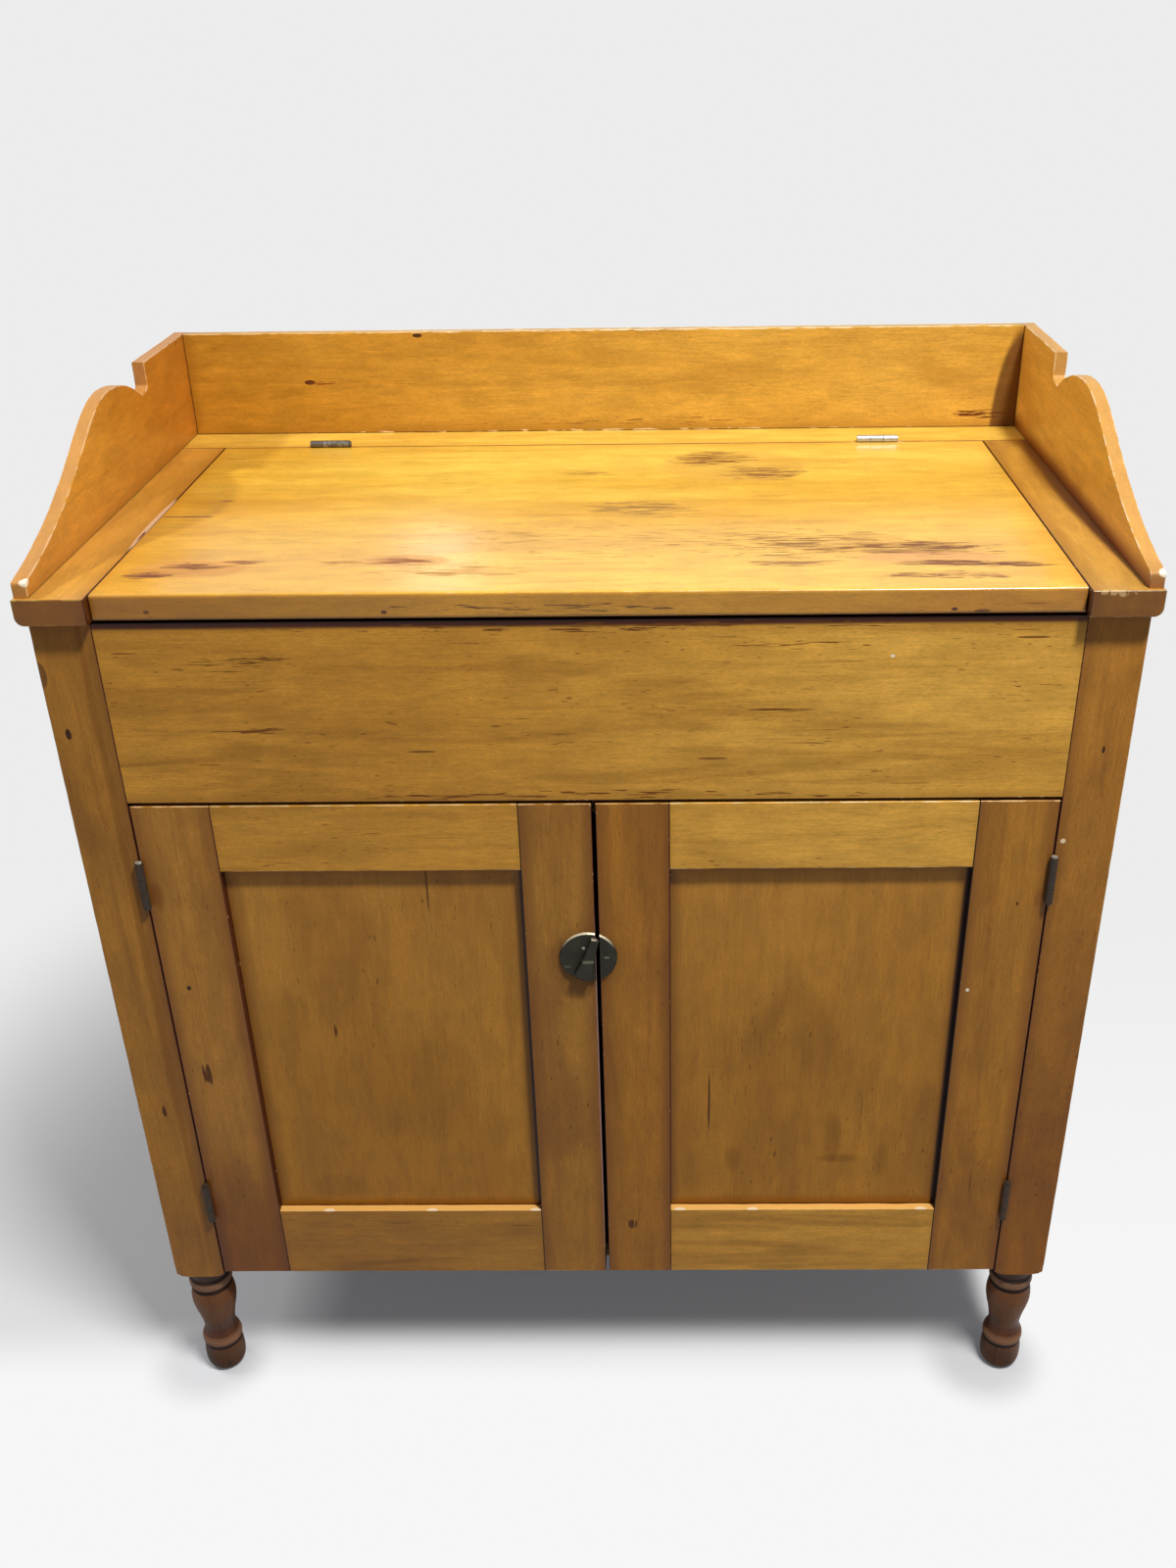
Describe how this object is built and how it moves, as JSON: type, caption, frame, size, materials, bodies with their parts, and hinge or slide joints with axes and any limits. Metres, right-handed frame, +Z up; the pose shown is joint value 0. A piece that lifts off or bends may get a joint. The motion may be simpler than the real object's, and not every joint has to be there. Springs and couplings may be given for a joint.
{
  "type": "dry sink cabinet",
  "caption": "Dry sink cabinet: a lidded well over a cupboard with framed doors and a turn latch, on turned feet, with a scrolled gallery round the top.",
  "frame": {"origin": "on the floor under the middle of the cabinet's overall width and depth", "axes": "+Z up, +X to the right seen from the front, the doors face -Y and the backsplash is at +Y"},
  "size_m": [0.9836, 0.558, 1.0879],
  "materials": {
    "case_wood": "aged amber shellac, satin",
    "front_wood": "aged honey shellac, satin",
    "lid_wood": "worn golden shellac, satin",
    "door_wood": "aged amber shellac, satin",
    "panel_wood": "aged amber shellac, satin",
    "inside_wood": "bare aged wood, matte",
    "hinge_iron": "dark worn iron",
    "latch_metal": "dark bronze patina"
  },
  "bodies": {
    "case": {"front_left_post": "case_wood", "front_right_post": "case_wood", "rear_left_post": "case_wood", "rear_right_post": "case_wood", "left_side_board": "case_wood", "right_side_board": "case_wood", "left_top_rail": "inside_wood", "right_top_rail": "inside_wood", "top_left_board": "case_wood", "top_right_board": "case_wood", "left_gallery_board": "case_wood", "right_gallery_board": "case_wood", "sink_front_board": "front_wood", "door_head_rail": "inside_wood", "front_bottom_rail": "case_wood", "rear_bottom_rail": "inside_wood", "rear_top_rail": "inside_wood", "sink_floor": "inside_wood", "cupboard_shelf": "inside_wood", "cupboard_floor": "inside_wood", "back_board_1": "inside_wood", "back_board_2": "inside_wood", "back_board_3": "inside_wood", "top_rear_strip": "lid_wood", "backsplash": "case_wood", "left_door_upper_hinge_post_leaf": "hinge_iron", "left_door_upper_hinge_pin": "hinge_iron", "left_door_lower_hinge_post_leaf": "hinge_iron", "left_door_lower_hinge_pin": "hinge_iron", "right_door_upper_hinge_post_leaf": "hinge_iron", "right_door_upper_hinge_pin": "hinge_iron", "right_door_lower_hinge_post_leaf": "hinge_iron", "right_door_lower_hinge_pin": "hinge_iron", "lid_left_hinge_strip_leaf": "hinge_iron", "lid_left_hinge_pin": "hinge_iron", "lid_right_hinge_strip_leaf": "hinge_iron", "lid_right_hinge_pin": "hinge_iron"},
    "lid": {"lid_board": "lid_wood", "left_lid_batten": "inside_wood", "right_lid_batten": "inside_wood", "lid_left_hinge_lid_leaf": "hinge_iron", "lid_right_hinge_lid_leaf": "hinge_iron"},
    "left_door": {"left_door_hinge_stile": "door_wood", "left_door_lock_stile": "door_wood", "left_door_top_rail": "front_wood", "left_door_bottom_rail": "front_wood", "left_door_panel": "panel_wood", "left_door_upper_hinge_door_leaf": "hinge_iron", "left_door_lower_hinge_door_leaf": "hinge_iron", "latch_plate": "latch_metal"},
    "right_door": {"right_door_hinge_stile": "door_wood", "right_door_lock_stile": "door_wood", "right_door_top_rail": "front_wood", "right_door_bottom_rail": "front_wood", "right_door_panel": "panel_wood", "right_door_upper_hinge_door_leaf": "hinge_iron", "right_door_lower_hinge_door_leaf": "hinge_iron", "latch_keeper": "latch_metal"},
    "latch_turn": {"latch_knob": "latch_metal", "latch_tongue": "latch_metal"}
  },
  "joints": [
    {"name": "lid_hinge", "type": "hinge", "parent": "case", "child": "lid", "pos_m": [0, 0.2044, 0.9781], "axis": [-1, 0, 0], "range_deg": [0, 118]},
    {"name": "left_door_hinge", "type": "hinge", "parent": "case", "child": "left_door", "pos_m": [-0.4322, -0.2686, 0.468], "axis": [0, 0, -1], "range_deg": [0, 175]},
    {"name": "right_door_hinge", "type": "hinge", "parent": "case", "child": "right_door", "pos_m": [0.4322, -0.2686, 0.468], "axis": [0, 0, 1], "range_deg": [0, 175]},
    {"name": "latch_spindle", "type": "hinge", "parent": "left_door", "child": "latch_turn", "pos_m": [-0.0092, -0.265, 0.596], "axis": [0, -1, 0], "range_deg": [0, 107]}
  ]
}
